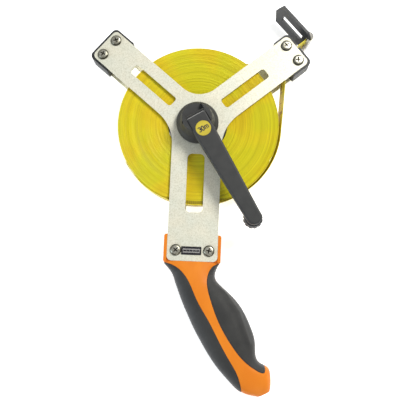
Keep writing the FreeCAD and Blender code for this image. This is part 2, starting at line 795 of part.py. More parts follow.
def make_crank_arm():
    """Folding arm; local X runs from the axle to the knob."""
    body = new_body("crank_arm")
    back = -D["hinge_back"]
    root = D["crank_root_half"]
    tip = D["crank_tip_half"]
    shoulder = as_size(14.0)
    sketch = new_sketch(body, offset=D["crank_bottom"])
    draw_polygon(sketch, [(back, -root), (shoulder, -root), (D["crank_reach"], -tip),
                          (D["crank_reach"], tip), (shoulder, root), (back, root)])
    pad(body, sketch, D["crank_thick"])
    sketch = new_sketch(body, offset=D["crank_bottom"])
    draw_circle(sketch, tip, D["crank_reach"])
    feature = pad(body, sketch, D["crank_thick"])
    long_edges = []
    for name in edges_at_level(feature.Shape, crank_top.value):
        edge = feature.Shape.getElement(name)
        if edge.BoundBox.XMax > shoulder.value + 1:
            long_edges.append(name)
    fillet(body, feature, long_edges, 1.6)
    sketch = new_sketch(body, "XZ_Plane")
    draw_circle(sketch, D["hinge_below"], back, hinge_level)
    pad(body, sketch, root * 2, midplane=True)
    sketch = new_sketch(body, "XZ_Plane")
    draw_circle(sketch, D["hinge_pin"] + D["running_gap"], back, hinge_level)
    pocket(body, sketch, root * 2 + 4, midplane=True)
    sketch = new_sketch(body, offset=crank_top)
    draw_rectangle(sketch, back - 0.6, back + 0.6, -8.0, 8.0)
    pocket(body, sketch, 1.6)
    sketch = new_sketch(body, offset=crank_top)
    draw_circle(sketch, D["badge_radius"] + 0.05, D["badge_reach"])
    pocket(body, sketch, 1.0)
    sketch = new_sketch(body, offset=D["crank_bottom"])
    draw_circle(sketch, 2.0, D["crank_reach"])
    pocket(body, sketch, 5.0, reverse=True)
    body.Placement = crank_placement()
    return export_later("crank_arm", body)


def make_badge():
    body = new_body("length_badge")
    edge = D["badge_radius"]
    turn(body, [(0, crank_top - 1.0), (edge, crank_top - 1.0), (edge, crank_top + 0.1),
                (edge - 0.3, crank_top + 0.3), (0, crank_top + 0.3)])
    reach = D["badge_reach"].value
    body.Placement = crank_placement().multiply(Placement(Vector(reach, 0, 0), Rotation()))
    return export_later("length_badge", body)


def knob_placement():
    reach = D["crank_reach"].value
    return crank_placement().multiply(Placement(Vector(reach, 0, 0), Rotation()))


def make_knob_pin():
    """Shoulder rivet that the knob turns on."""
    body = new_body("knob_pin")
    bottom = D["knob_bottom"] + 0.4
    turn(body, [(0, bottom), (2.9, bottom), (3.3, bottom + 0.4), (3.3, bottom + 1.4),
                (2.0, bottom + 1.4), (2.0, D["crank_bottom"] + 5.0), (0, D["crank_bottom"] + 5.0)])
    body.Placement = knob_placement()
    return export_later("knob_pin", body)


def make_knob():
    """Fluted finger knob, counterbored for the rivet's head."""
    body = new_body("crank_knob")
    low = D["knob_bottom"]
    high = D["crank_bottom"] - 0.3
    edge = D["knob_radius"]
    flare = D["knob_flare"]
    bore = 2.0 + D["running_gap"]
    head_seat = low + 2.0
    turn(body, [(3.7, low), (flare - 1.0, low), (flare, low + 1.0), (edge, high - 3.0),
                (edge, high - 0.6), (edge - 0.6, high), (bore, high), (bore, head_seat),
                (3.7, head_seat)])
    flutes = 12
    flute_radius = 1.5
    sketch = new_sketch(body, offset=low - 0.5)
    draw_circle(sketch, flute_radius, flare + 0.9)
    flute = pocket(body, sketch, high - low + 1.0, reverse=True)
    pattern = body.newObject("PartDesign::PolarPattern", "knob_flutes")
    pattern.Originals = [flute]
    pattern.Axis = (sketch, ["N_Axis"])
    pattern.Angle = 360
    pattern.Occurrences = flutes
    body.Tip = pattern
    body.Placement = knob_placement()
    return export_later("crank_knob", body)


# --- tape end ------------------------------------------------------------------------------

def make_tape_strip():
    """Tape from the loose outer turn, straight to the guide and round its boss."""
    route = tape_route()
    start_angle = -100.0
    thick = D["tape_thick"].value
    low = tape_bottom.value
    high = low + D["tape_wide"].value
    shape = join([
        band_arc(Vector(0, 0, 0), D["loose_turn"].value, start_angle, route["leave_angle"], thick, low, high),
        band_run(route["leave"], route["bend_start"], thick, low, high),
        band_arc(route["boss"], D["guide_bend"].value, route["heading"] + 90,
                 route["exit_heading"] + 90, thick, low, high),
    ])
    return export_later("tape_strip", solid_feature("tape_strip", shape))


def exit_offset():
    """How far the tape's way out lies from the arm's centre line, across towards the stem."""
    return D["arm_screw_half"] - D["guide_bend"]


def make_tape_lead():
    """Straight end of the tape, from inside the guide to short of the fold line.

    Its outer edge leans with the fold line, so that the end ring can swing past it."""
    body = new_body("tape_lead")
    start = D["arm_screw_reach"] + 0.3
    lean = D["tape_wide"] / 2 * math.tan(math.radians(D["ring_tilt"].value))
    end = D["ring_axis_reach"] - 1.2
    sketch = new_sketch(body, "XZ_Plane")
    draw_polygon(sketch, [(start, tape_bottom), (end - lean, tape_bottom),
                          (end + lean, tape_bottom + D["tape_wide"]),
                          (start, tape_bottom + D["tape_wide"])])
    pad(body, sketch, D["tape_thick"], midplane=True)
    place = Placement(Vector(0, -exit_offset().value, 0), Rotation())
    body.Placement = arm_placement().multiply(place)
    return export_later("tape_lead", body)


def ring_placement():
    """Local frame of the end ring: origin on its fold line, X outwards, Y along the ring
    (to the upper left), Z along the fold line, which leans outwards with the ring."""
    place = Vector(D["ring_axis_reach"].value, -exit_offset().value, mid_level.value)
    lean = Rotation(Vector(0, 1, 0), D["ring_tilt"].value)
    yaw = Rotation(Z_AXIS, D["ring_yaw"].value)
    return arm_placement().multiply(Placement(place, yaw.multiply(lean)))


# The ring's own frame: inner face, near end, end bar and the slit that the tape passes.
ring_face = 2.6
ring_near = -2.4
bar_wide = 2.6
slit_wide = 1.9
web_wide = 3.3
fold_clear = 0.6


def make_end_ring():
    """Slotted hook plate at the end of the tape, with a slit for the tape's loop."""
    body = new_body("end_ring")
    sketch = new_sketch(body, "YZ_Plane", offset=ring_face)
    far = ring_near + D["ring_long"]
    low = D["ring_raise"] - D["ring_wide"] / 2
    high = D["ring_raise"] + D["ring_wide"] / 2
    point = D["ring_raise"] + 0.5
    nick = 2.0
    step = 5.0
    draw_polygon(sketch, [(ring_near, low + nick), (ring_near + nick, low),
                          (far - D["ring_point"], low), (far - 0.6, point - 2.0),
                          (far, point), (far - 0.6, point + 2.0),
                          (far - D["ring_point"], high), (ring_near + step, high),
                          (ring_near, high - step)])
    slit = ring_near + bar_wide
    slit_half = D["tape_wide"] / 2 + 0.6
    draw_rectangle(sketch, slit, slit + slit_wide, -slit_half, slit_half)
    slot = slit + slit_wide + web_wide
    slot_half = D["ring_slot_wide"] / 2
    draw_rectangle(sketch, slot, slot + D["ring_slot_long"], D["ring_raise"] - slot_half,
                   D["ring_raise"] + slot_half)
    pad(body, sketch, D["ring_thick"])
    body.Placement = ring_placement()
    return export_later("end_ring", body)


def make_end_loop():
    """End of the tape, taken round the ring's bar and back, with its short doubled tail."""
    wall = 0.5
    gap = 0.35
    half = D["tape_wide"].value / 2
    low_x = ring_face - gap
    high_x = ring_face + D["ring_thick"].value + gap
    low_y = ring_near - gap
    high_y = ring_near + bar_wide + gap
    outer = Part.makeBox(high_x - low_x + 2 * wall, high_y - low_y + 2 * wall, 2 * half,
                         Vector(low_x - wall, low_y - wall, -half))
    inner = Part.makeBox(high_x - low_x, high_y - low_y, 2 * half + 2, Vector(low_x, low_y, -half - 1))
    upright = [edge for edge in outer.Edges if abs(edge.BoundBox.ZLength - 2 * half) < 1e-4]
    outer = outer.makeFillet(1.2, upright)
    upright = [edge for edge in inner.Edges if abs(edge.BoundBox.ZLength - 2 * half - 2) < 1e-4]
    inner = inner.makeFillet(0.7, upright)
    tail = Part.makeBox(low_x - fold_clear, 1.0, 2 * half, Vector(fold_clear, -0.9, -half))
    shape = outer.fuse(tail).cut(inner).removeSplitter()
    return export_later("tape_end_loop", solid_feature("tape_end_loop", shape, ring_placement()))


def make_end_sleeve():
    """Clear protective film that wraps the ring's near end outside the tape's loop."""
    thick = 0.4
    radius = 4.9
    centre = Vector(3.5, 0.9, 0)
    start_x = fold_clear + thick / 2
    start_angle = 180 + math.degrees(math.acos((centre.x - start_x) / radius))
    finish_angle = 370
    end = Vector(ring_face + D["ring_thick"].value + 0.3, 6.4, 0)
    half = D["sleeve_half"].value
    corner = polar_point(centre, radius, start_angle)
    shape = join([
        band_run(Vector(start_x, -0.95, 0), corner, thick, -half, half),
        band_arc(centre, radius, start_angle, finish_angle, thick, -half, half),
        band_run(polar_point(centre, radius, finish_angle), end, thick, -half, half),
    ])
    return export_later("end_sleeve", solid_feature("end_sleeve", shape, ring_placement()))


# --- handle --------------------------------------------------------------------------------

# Sections down the handle: left edge (x, y), right edge (x, y), half thickness.
HANDLE_SECTIONS = [
    ((-24.4, -119.8), (24.3, -119.8), 9.0),
    ((-20.4, -125.2), (21.2, -124.2), 10.2),
    ((-16.2, -130.5), (19.8, -128.6), 11.2),
    ((-13.4, -137.5), (20.4, -134.2), 12.0),
    ((-10.4, -145.0), (26.2, -140.2), 12.8),
    ((-6.6, -154.0), (35.6, -148.4), 13.5),
    ((-1.8, -164.0), (44.0, -158.6), 13.9),
    ((4.9, -177.0), (51.6, -173.4), 14.0),
    ((13.2, -190.6), (55.4, -187.6), 13.8),
    ((21.2, -202.2), (56.2, -196.4), 13.4),
    ((29.4, -211.6), (60.2, -201.8), 13.0),
    ((37.4, -219.6), (66.6, -204.6), 12.6),
    ((43.6, -224.6), (69.1, -211.4), 11.8),
    ((50.4, -227.2), (69.4, -217.8), 10.2),
    ((58.2, -228.5), (68.8, -223.4), 7.0),
]
# Where the soft grips stop and the hard core shows, on both sides.
PALM_EDGE = [(-30.0, -120.6), (-23.0, -121.2), (-14.1, -124.1), (-6.1, -130.5), (-1.2, -137.6),
             (5.7, -151.7), (15.8, -167.8), (24.9, -183.8), (34.4, -199.5), (40.8, -210.0),
             (44.2, -219.8), (45.4, -232.0)]
FINGER_EDGE = [(30.0, -120.2), (22.6, -120.8), (17.4, -123.8), (14.2, -129.6), (13.4, -136.0),
               (17.0, -151.3), (23.5, -167.5), (32.8, -183.4), (45.7, -199.0), (54.6, -205.4),
               (63.2, -208.2), (63.4, -200.0), (63.4, -190.0)]


def handle_section(left, right, half_thick, boxy, grow):
    """Closed superellipse across the handle, spanned between its two edges."""
    left = Vector(left[0], left[1], mid_level.value)
    right = Vector(right[0], right[1], mid_level.value)
    centre = (left + right) * 0.5
    across = (right - left) * 0.5
    half_wide = across.Length + grow
    across.normalize()
    points = []
    count = 28
    for step in range(count):
        angle = 2 * math.pi * step / count
        cosine_part = math.cos(angle)
        sine_part = math.sin(angle)
        wide = math.copysign(abs(cosine_part) ** (2 / boxy), cosine_part) * half_wide
        tall = math.copysign(abs(sine_part) ** (2 / boxy), sine_part) * (half_thick + grow)
        points.append(centre + across * wide + Z_AXIS * tall)
    curve = Part.BSplineCurve()
    curve.interpolate(Points=points, PeriodicFlag=True)
    return Part.Wire(curve.toShape())


def handle_solid(grow):
    sections = []
    for number, (left, right, half_thick) in enumerate(HANDLE_SECTIONS):
        boxy = 4.2 if number == 0 else 3.4 if number == 1 else 2.7
        if number == 0:
            sections.append(handle_section(left, right, half_thick, boxy, 0.0))
        else:
            sections.append(handle_section(left, right, half_thick, boxy, grow))
    return Part.makeLoft(sections, True, False)


def region_solid(edge_points, far_x):
    """Upright slab between a smooth edge line and a far side, for dividing the handle."""
    curve = Part.BSplineCurve()
    curve.interpolate([Vector(x, y, -5) for x, y in edge_points])
    first = Vector(edge_points[0][0], edge_points[0][1], -5)
    last = Vector(edge_points[-1][0], edge_points[-1][1], -5)
    corners = [last, Vector(far_x, last.y, -5), Vector(far_x, first.y, -5), first]
    border = [Part.LineSegment(a, b).toShape() for a, b in zip(corners, corners[1:])]
    wire = Part.Wire([curve.toShape()] + border)
    return Part.Face(wire).extrude(Vector(0, 0, 45))


def handle_root():
    """Hard part between and beside the plates, which the two stem screws pass through."""
    top_y = -97.0
    low_y = -(D["stem_end"].value + 0.3)
    outer = 24.3
    wide = Part.makeBox(2 * outer, top_y - low_y, D["plate_gap"].value + 2 * D["plate_thick"].value,
                        Vector(-outer, low_y, D["rear_level"].value))
    corner = [edge for edge in wide.Edges
              if edge.BoundBox.ZLength > 10 and abs(edge.BoundBox.YMax - top_y) < 1e-4]
    wide = wide.makeFillet(2.0, corner)
    seat = 2 * (D["stem_half"].value + 0.1)
    for level in (D["rear_level"].value - 5, front_inner.value):
        deep = D["plate_thick"].value + 5
        wide = wide.cut(Part.makeBox(seat, 40, deep, Vector(-seat / 2, low_y + 0.2, level)))
    for side in (LEFT, RIGHT):
        place = Vector(D["stem_screw_half"].value * side, -D["stem_screw_reach"].value, 0)
        wide = wide.cut(Part.makeCylinder(D["screw_hole"].value, 40, place))
    return wide


def make_handle():
    """Handle core and its two soft grips, cut from two nested lofts."""
    hard = handle_solid(0.0)
    soft = handle_solid(D["grip_proud"].value)
    palm_region = region_solid(PALM_EDGE, -60.0)
    finger_region = region_solid(FINGER_EDGE, 110.0)
    palm = soft.common(palm_region)
    finger = soft.common(finger_region)
    core = hard.cut(palm_region).cut(finger_region)
    core = core.fuse(handle_root()).removeSplitter()
    export_later("handle_core", solid_feature("handle_core", core))
    export_later("palm_grip", solid_feature("palm_grip", palm))
    export_later("finger_grip", solid_feature("finger_grip", finger))


# --- build, check and write ----------------------------------------------------------------

def build_model():
    make_plate("front_frame_plate", front_inner, 7.0, D["arm_slot_outer"], D["arm_slot_outer"])
    rear = make_plate("rear_frame_plate", D["rear_level"], spigot_radius, D["rear_slot_left"],
                      D["rear_slot_right"])
    drill_rear_plate(rear)
    make_spacer_block()
    make_guide_block()
    make_fasteners()
    make_name_label()
    make_rear_cap()
    make_rivets()
    make_front_bushing()
    make_thrust_washer("rear_thrust_washer", D["journal_rear"] + 0.3, rear_inner + 0.05)
    make_thrust_washer("front_thrust_washer", D["journal_front"] + 0.3, front_inner - 0.55)
    make_axle()
    make_drum()
    make_anchor_clip()
    make_coil()
    make_hub()
    make_hub_screw()
    make_hinge_pin()
    make_crank_arm()
    make_badge()
    make_knob_pin()
    make_knob()
    make_tape_strip()
    make_tape_lead()
    make_end_ring()
    make_end_loop()
    make_end_sleeve()
    make_handle()
    doc.recompute()


def check_model():
    for item in doc.Objects:
        if "Invalid" in item.State or "Error" in item.State:
            raise RuntimeError("%s is in state %s" % (item.Name, item.State))
    for item in exported:
        if item.Shape.isNull() or not item.Shape.isValid() or not item.Shape.Solids:
            raise RuntimeError("%s has no valid solid" % item.Label)


def write_steps():
    os.makedirs(PARTS_FOLDER, exist_ok=True)
    for item in exported:
        item.Shape.exportStep(os.path.join(PARTS_FOLDER, item.Label + ".step"))
        print("%-22s %2d solids %10.1f mm3" % (item.Label, len(item.Shape.Solids), item.Shape.Volume))


build_model()
check_model()
write_steps()
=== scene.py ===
"""Looks of an open-reel measuring tape: studio, procedural materials, wound tape, grips and marks."""
import bmesh
import bpy
import json
import math
from mathutils import Matrix, Vector, noise


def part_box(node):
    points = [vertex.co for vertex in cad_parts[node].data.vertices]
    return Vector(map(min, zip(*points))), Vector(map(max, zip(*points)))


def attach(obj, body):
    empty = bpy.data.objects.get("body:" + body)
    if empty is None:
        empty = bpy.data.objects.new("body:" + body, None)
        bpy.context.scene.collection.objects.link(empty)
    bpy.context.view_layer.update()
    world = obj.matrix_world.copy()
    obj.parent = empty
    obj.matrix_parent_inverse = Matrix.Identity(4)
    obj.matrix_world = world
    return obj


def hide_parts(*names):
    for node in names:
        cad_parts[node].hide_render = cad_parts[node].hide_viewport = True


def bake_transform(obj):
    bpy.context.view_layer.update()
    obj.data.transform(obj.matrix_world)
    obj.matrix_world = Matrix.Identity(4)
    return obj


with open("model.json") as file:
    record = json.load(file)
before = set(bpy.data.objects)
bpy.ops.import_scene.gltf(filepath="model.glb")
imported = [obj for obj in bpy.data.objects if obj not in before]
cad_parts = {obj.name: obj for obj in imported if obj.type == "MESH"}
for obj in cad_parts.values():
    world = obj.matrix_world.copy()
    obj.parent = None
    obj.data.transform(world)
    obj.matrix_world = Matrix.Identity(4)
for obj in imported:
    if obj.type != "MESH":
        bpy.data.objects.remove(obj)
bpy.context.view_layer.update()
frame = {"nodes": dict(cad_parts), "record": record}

MM = 0.001
UP = Vector((0.0, 0.0, 1.0))

# Driving sizes, the same as the design's, in millimetres and degrees.
ARM_ANGLE = 50.4
SCREW_REACH = 105.4
SCREW_HALF = 8.45
GUIDE_BEND = 11.0
LOOSE_TURN = 72.0
LOOSE_START = -150.0
LOOSE_GAP = 0.35
STRIP_LEAN = 13.0
SLACK_START = -98.0
SLACK_SWEEP = 152.0
SLACK_GAP = 0.28
SLACK_RAISE = 0.45
SLACK_HALF = 5.8
TAPE_THICK = 0.45
TAPE_HALF = 6.5
MID_LEVEL = 14.5
COIL_CORE = 25.6
COIL_TURNS = 100
COIL_START = 40.0
COIL_EDGE = COIL_CORE + COIL_TURNS * TAPE_THICK
CRANK_ANGLE = -58.6
BADGE_REACH = 11.0
LABEL_REACH = 110.8
LABEL_SHIFT = -0.8
RING_REACH = 121.0
RING_TILT = 12.5
RING_YAW = 2.7

# Camera: place and aim in millimetres from the front plate's top, roll in degrees, lens for 36 mm.
CAMERA_PLACE = Vector((18.0, -138.6, 500.0))
CAMERA_AIM = Vector((4.86, -67.19, 0.0))
CAMERA_ROLL = 2.34
CAMERA_LENS = 53.11
SENSOR_WIDTH = 36.0


# --- camera and studio -----------------------------------------------------------------------

def make_camera():
    """Camera above the stem, looking almost straight down through a normal lens."""
    level = Vector((0, 0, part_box("front_frame_plate")[1].z))
    place = CAMERA_PLACE * MM + level
    aim = CAMERA_AIM * MM + level
    roll = math.radians(CAMERA_ROLL)
    forward = (aim - place).normalized()
    flat_right = forward.cross(Vector((0, 1, 0))).normalized()
    flat_up = flat_right.cross(forward)
    right = flat_right * math.cos(roll) + flat_up * math.sin(roll)
    top = flat_up * math.cos(roll) - flat_right * math.sin(roll)
    data = bpy.data.cameras.new("camera")
    data.lens = CAMERA_LENS
    data.sensor_width = SENSOR_WIDTH
    data.clip_start = 0.01
    camera = bpy.data.objects.new("camera", data)
    turn = Matrix((right, top, -forward)).transposed().to_4x4()
    camera.matrix_world = Matrix.Translation(place) @ turn
    bpy.context.scene.collection.objects.link(camera)
    bpy.context.scene.camera = camera


def make_lamp(name, place, aim, size, power, colour):
    """Round area lamp of a size in metres and a power in watts, turned towards aim."""
    data = bpy.data.lights.new(name, "AREA")
    data.shape = "DISK"
    data.size = size
    data.energy = power
    data.color = colour
    lamp = bpy.data.objects.new(name, data)
    heading = (Vector(aim) - Vector(place)).to_track_quat("-Z", "Y")
    lamp.matrix_world = Matrix.Translation(place) @ heading.to_matrix().to_4x4()
    bpy.context.scene.collection.objects.link(lamp)


def make_studio():
    """Soft key from the upper right, weak cool fill from the left, pale floor and even sky."""
    aim = (0.0, -0.06, 0.02)
    make_lamp("key_lamp", (0.55, 0.50, 0.95), aim, 0.45, 11.5, (1.0, 0.985, 0.95))
    make_lamp("fill_lamp", (-0.90, -0.40, 0.38), aim, 0.60, 4.2, (0.72, 0.85, 1.0))
    make_lamp("end_lamp", (0.35, -1.00, 0.60), aim, 0.60, 1.6, (1.0, 1.0, 1.0))
    world = bpy.data.worlds.new("studio")
    world.use_nodes = True
    background = world.node_tree.nodes["Background"]
    background.inputs["Color"].default_value = (1.0, 1.0, 1.0, 1.0)
    background.inputs["Strength"].default_value = 0.36
    bpy.context.scene.world = world
    bpy.context.scene.view_settings.view_transform = "Standard"

    floor_half = 3.0
    mesh = bpy.data.meshes.new("floor")
    corners = [(-floor_half, -floor_half, 0), (floor_half, -floor_half, 0),
               (floor_half, floor_half, 0), (-floor_half, floor_half, 0)]
    mesh.from_pydata(corners, [], [(0, 1, 2, 3)])
    floor = bpy.data.objects.new("floor", mesh)
    floor.location.z = -0.0002
    bpy.context.scene.collection.objects.link(floor)
    paint = Finish("pale_floor", roughness=0.9)
    paint.shader.inputs["Emission Color"].default_value = (1.0, 1.0, 1.0, 1.0)
    paint.shader.inputs["Emission Strength"].default_value = 0.62
    paint.colour(paint.ramp(paint.noise(0.3), (0.3, (0.93, 0.93, 0.93)), (0.7, (0.96, 0.96, 0.96))))
    mesh.materials.append(paint.material)


# --- material kit ----------------------------------------------------------------------------

class Finish:
    """One procedural material: a Principled shader and the pattern nodes that feed it."""

    def __init__(self, name, roughness=0.5, metallic=0.0, coat=0.0, sheen=0.0):
        self.material = bpy.data.materials.new(name)
        self.material.use_nodes = True
        self.tree = self.material.node_tree
        self.shader = self.tree.nodes["Principled BSDF"]
        self.shader.inputs["Roughness"].default_value = roughness
        self.shader.inputs["Metallic"].default_value = metallic
        self.shader.inputs["Coat Weight"].default_value = coat
        self.shader.inputs["Sheen Weight"].default_value = sheen
        self.places = self.tree.nodes.new("ShaderNodeTexCoord")
        self.place = self.places.outputs["Object"]

    def add(self, kind, inputs=None, **settings):
        """New node; an input is either another node's socket or a plain value."""
        made = self.tree.nodes.new(kind)
        for key, value in settings.items():
            setattr(made, key, value)
        for key, value in (inputs or {}).items():
            if isinstance(value, bpy.types.NodeSocket):
                self.tree.links.new(value, made.inputs[key])
            else:
                made.inputs[key].default_value = value
        return made

    def stretched(self, scale):
        """The surface's coordinates with each axis scaled."""
        inputs = {"Vector": self.place, "Scale": scale}
        return self.add("ShaderNodeMapping", inputs).outputs["Vector"]

    def noise(self, size, detail=2.0, place=None, rough=0.5):
        """Soft noise whose features are about size metres across."""
        inputs = {"Vector": place or self.place, "Scale": 1.0 / size, "Detail": detail, "Roughness": rough}
        return self.add("ShaderNodeTexNoise", inputs).outputs["Fac"]

    def cells(self, size):
        """Distance to scattered soft-edged cells about size metres across."""
        inputs = {"Vector": self.place, "Scale": 1.0 / size}
        return self.add("ShaderNodeTexVoronoi", inputs, feature="SMOOTH_F1").outputs["Distance"]

    def math(self, operation, first, second=0.0):
        return self.add("ShaderNodeMath", {0: first, 1: second}, operation=operation).outputs[0]

    def ramp(self, factor, *stops):
        """Colour by factor; each stop is (position, colour)."""
        made = self.add("ShaderNodeValToRGB", {"Fac": factor})
        points = made.color_ramp.elements
        while len(points) < len(stops):
            points.new(0.5)
        for point, (position, colour) in zip(points, stops):
            point.position = position
            point.color = (*colour, 1.0)
        return made.outputs["Color"]

    def span(self, factor, low, high, floor=0.0, top=1.0):
        """factor's span from floor to top moved onto low to high."""
        inputs = {"Value": factor, "From Min": floor, "From Max": top, "To Min": low, "To Max": high}
        return self.add("ShaderNodeMapRange", inputs).outputs["Result"]

    def mix(self, factor, first, second, kind="MIX"):
        """Colour between first and second, or their product when kind is MULTIPLY."""
        made = self.add("ShaderNodeMix", data_type="RGBA", blend_type=kind)
        for index, value in ((0, factor), (6, first), (7, second)):
            if isinstance(value, bpy.types.NodeSocket):
                self.tree.links.new(value, made.inputs[index])
            else:
                made.inputs[index].default_value = value if index == 0 else (*value, 1.0)
        return made.outputs[2]

    def colour(self, socket):
        self.tree.links.new(socket, self.shader.inputs["Base Color"])

    def roughness(self, socket):
        self.tree.links.new(socket, self.shader.inputs["Roughness"])

    def bump(self, height, depth, strength=1.0):
        """Relief of depth metres from a height between 0 and 1."""
        inputs = {"Height": height, "Distance": depth, "Strength": strength}
        made = self.add("ShaderNodeBump", inputs)
        self.tree.links.new(made.outputs["Normal"], self.shader.inputs["Normal"])


# --- materials -------------------------------------------------------------------------------

def plate_finish():
    """Pale galvanised sheet: fine speckle, faint blotches and a satin gloss."""
    finish = Finish("pale_speckled_steel", metallic=0.25)
    grain = finish.noise(0.0011, 4.0, rough=0.7)
    base = finish.ramp(grain, (0.30, (0.66, 0.64, 0.52)), (0.48, (0.83, 0.81, 0.68)),
                       (0.66, (0.93, 0.91, 0.80)))
    blotch = finish.ramp(finish.noise(0.02), (0.35, (0.93, 0.95, 0.93)), (0.65, (1.0, 0.98, 0.93)))
    finish.colour(finish.mix(1.0, base, blotch, "MULTIPLY"))
    finish.roughness(finish.span(finish.noise(0.004), 0.34, 0.50))
    finish.bump(finish.noise(0.0007, 3.0), 0.00006, 0.5)
    return finish.material


def moulded_finish(name, dark, pale, rough=(0.42, 0.58)):
    """Injection-moulded plastic with a spark-eroded grain."""
    finish = Finish(name)
    finish.colour(finish.ramp(finish.noise(0.006, 4.0), (0.3, dark), (0.7, pale)))
    finish.roughness(finish.span(finish.noise(0.003), rough[0], rough[1]))
    finish.bump(finish.noise(0.0006, 3.0), 0.00004, 0.6)
    return finish.material


def fastener_finish():
    """Zinc-plated steel with fine scratches, drawn out along Z."""
    finish = Finish("zinc_steel", metallic=1.0)
    along = finish.stretched((1.0, 1.0, 0.2))
    tone = finish.noise(0.002, 4.0)
    finish.colour(finish.ramp(tone, (0.3, (0.50, 0.50, 0.49)), (0.7, (0.68, 0.68, 0.66))))
    finish.roughness(finish.span(finish.noise(0.0005, 3.0, along), 0.24, 0.38))
    finish.bump(finish.noise(0.0004, 2.0, along), 0.00001, 0.5)
    return finish.material


def screw_finish():
    """Bright plating with painted shade on the heads' flanks and in their cross recesses."""
    finish = Finish("chrome_with_painted_shade", metallic=1.0)
    # Painted shade: the colour darkens as the surface tilts away from straight up, so the heads' steep
    # flanks carry a painted dark reflection.
    normal = finish.add("ShaderNodeNewGeometry").outputs["Normal"]
    height = finish.add("ShaderNodeSeparateXYZ", {"Vector": normal}).outputs["Z"]
    painted_shade = finish.ramp(height, (0.30, (0.045, 0.043, 0.040)), (0.80, (0.16, 0.155, 0.12)),
                        (0.93, (0.50, 0.49, 0.40)), (0.995, (0.80, 0.79, 0.70)))
    level = finish.add("ShaderNodeSeparateXYZ", {"Vector": finish.place}).outputs["Z"]
    # Painted shade in the cross recesses: the band of heights just below the head's top is darkened.
    sunk = finish.span(level, 1.0, 0.0, 0.0246, 0.0251)
    above = finish.span(level, 0.0, 1.0, 0.0238, 0.0242)
    painted_shade = finish.mix(finish.math("MULTIPLY", sunk, above), painted_shade, (0.06, 0.055, 0.04))
    tone = finish.ramp(finish.noise(0.0012, 3.0), (0.35, (0.62, 0.60, 0.52)), (0.65, (1.0, 1.0, 1.0)))
    finish.colour(finish.mix(1.0, painted_shade, tone, "MULTIPLY"))
    finish.roughness(finish.span(finish.noise(0.0006, 3.0), 0.24, 0.40))
    finish.bump(finish.noise(0.0009, 2.0), 0.00010, 0.5)
    return finish.material


TAPE_PALE = (0.80, 0.69, 0.022)
TAPE_DEEP = (0.66, 0.53, 0.014)


def coil_finish():
    """Edges of the wound tape: fine rings of changing tone under drifting yellow patches.

    The outer turns at the stem's end show the marks printed on the tape as dark ribs."""
    finish = Finish("wound_tape_edges")
    flat = finish.add("ShaderNodeVectorMath", {0: finish.place, 1: (1.0, 1.0, 0.0)}, operation="MULTIPLY")
    length = finish.add("ShaderNodeVectorMath", {0: flat.outputs["Vector"]}, operation="LENGTH")
    radius = length.outputs["Value"]
    split = finish.add("ShaderNodeSeparateXYZ", {"Vector": finish.place})
    slow = {"X": finish.math("MULTIPLY", split.outputs["X"], 9.0),
            "Y": finish.math("MULTIPLY", split.outputs["Y"], 9.0),
            "Z": finish.math("MULTIPLY", radius, 1000.0)}
    rings = finish.add("ShaderNodeCombineXYZ", slow).outputs["Vector"]
    broad = finish.noise(2.6, 3.0, rings, 0.6)
    fine = finish.noise(0.9, 1.0, rings)
    tone = finish.ramp(broad, (0.30, (0.71, 0.585, 0.016)), (0.60, TAPE_PALE), (0.76, (0.82, 0.72, 0.035)))
    grain = finish.ramp(fine, (0.32, (0.87, 0.87, 0.82)), (0.55, (1.0, 1.0, 1.0)))
    patch = finish.ramp(finish.noise(0.030, 1.0), (0.40, (1.0, 0.92, 0.86)), (0.52, (1.0, 1.0, 1.0)),
                        (0.64, (0.93, 1.0, 0.95)))
    base = finish.mix(1.0, finish.mix(1.0, tone, grain, "MULTIPLY"), patch, "MULTIPLY")
    ribs = finish.math("FRACT", finish.math("DIVIDE", split.outputs["X"], 0.0018))
    rim = finish.span(radius, 0.0, 1.0, 0.0674, 0.0682)
    low = finish.span(split.outputs["Y"], 1.0, 0.0, -0.066, -0.064)
    printed = finish.math("MULTIPLY", finish.math("MULTIPLY", rim, low), finish.span(ribs, 0.5, 1.0))
    finish.colour(finish.mix(finish.math("MULTIPLY", printed, 0.85), base, (0.20, 0.115, 0.02)))
    finish.roughness(finish.span(broad, 0.56, 0.44))
    finish.bump(fine, 0.00005, 0.4)
    return finish.material


def tape_finish():
    """Printed face of the tape: U is metres along it, V runs across it from 0 to 1."""
    finish = Finish("printed_tape", roughness=0.4)
    split = finish.add("ShaderNodeSeparateXYZ", {"Vector": finish.places.outputs["UV"]})
    along = split.outputs["X"]
    across = split.outputs["Y"]
    marks = None
    for pitch, wide, reach in ((0.001, 0.0006, 0.45), (0.010, 0.0010, 0.58), (0.100, 0.0030, 0.85)):
        phase = finish.math("FRACT", finish.math("DIVIDE", along, pitch))
        line = finish.math("LESS_THAN", phase, wide / pitch)
        inside = finish.math("LESS_THAN", across, reach)
        mark = finish.math("MULTIPLY", line, inside)
        marks = mark if marks is None else finish.math("MAXIMUM", marks, mark)
    weave = finish.noise(0.0012, 3.0)
    base = finish.ramp(weave, (0.3, TAPE_DEEP), (0.6, TAPE_PALE))
    finish.colour(finish.mix(marks, base, (0.40, 0.24, 0.020)))
    finish.roughness(finish.span(weave, 0.36, 0.5))
    finish.bump(finish.noise(0.0005, 2.0), 0.00003, 0.4)
    return finish.material


def rubber_finish():
    """Soft black overmoulding with a fine leathery stipple."""
    finish = Finish("soft_black_rubber", sheen=0.25)
    finish.shader.inputs["Sheen Roughness"].default_value = 0.5
    tone = finish.noise(0.012, 3.0)
    finish.colour(finish.ramp(tone, (0.3, (0.020, 0.020, 0.019)), (0.7, (0.030, 0.030, 0.028))))
    finish.roughness(finish.span(finish.noise(0.004), 0.60, 0.74))
    pores = finish.cells(0.0009)
    finish.bump(pores, 0.00012, 0.55)
    return finish.material


